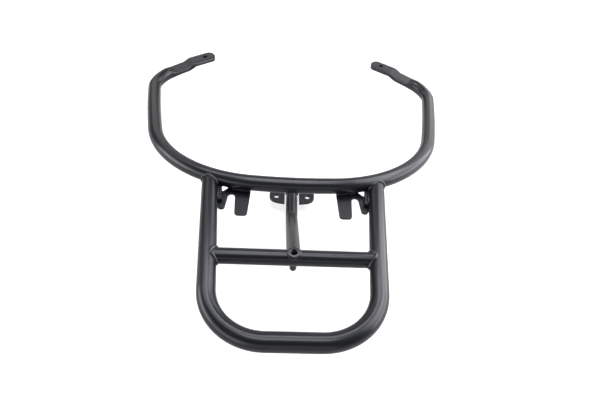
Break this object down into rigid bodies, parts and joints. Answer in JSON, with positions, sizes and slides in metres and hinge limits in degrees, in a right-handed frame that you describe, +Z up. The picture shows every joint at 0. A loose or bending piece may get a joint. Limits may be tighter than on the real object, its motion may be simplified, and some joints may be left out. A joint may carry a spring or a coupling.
{
  "type": "motorcycle luggage rack",
  "caption": "Flat luggage rack loop of bent black steel tube with a cross tube, welded to a wide passenger grab hoop with flattened bolt-on ends.",
  "frame": {"origin": "on the axis of the tapped boss in the middle of the cross tube, in the plane of the rack loop's tube centres", "axes": "+X to the rack's right, +Y forward along the rack to the hoop's bolted ends, +Z up out of the boss"},
  "size_m": [0.4848, 0.5837, 0.0825],
  "materials": {
    "coated_tube": "satin black powder coat on steel tube",
    "coated_plate": "satin black powder coat on steel plate",
    "coated_weld": "satin black powder coat over a rippled weld bead"
  },
  "bodies": {
    "root": {"seat_hoop": "coated_tube", "rack_loop": "coated_tube", "cross_tube": "coated_tube", "centre_strut": "coated_tube", "centre_boss": "coated_tube", "lug_plate": "coated_plate", "left_foot_plate": "coated_plate", "right_foot_plate": "coated_plate", "left_gusset_bar": "coated_plate", "right_gusset_bar": "coated_plate", "left_hoop_weld": "coated_weld", "right_hoop_weld": "coated_weld", "left_cross_weld": "coated_weld", "right_cross_weld": "coated_weld", "boss_weld": "coated_weld", "strut_weld": "coated_weld", "lug_weld": "coated_weld", "left_foot_weld": "coated_weld", "right_foot_weld": "coated_weld", "left_gusset_weld": "coated_weld", "right_gusset_weld": "coated_weld"}
  },
  "joints": []
}
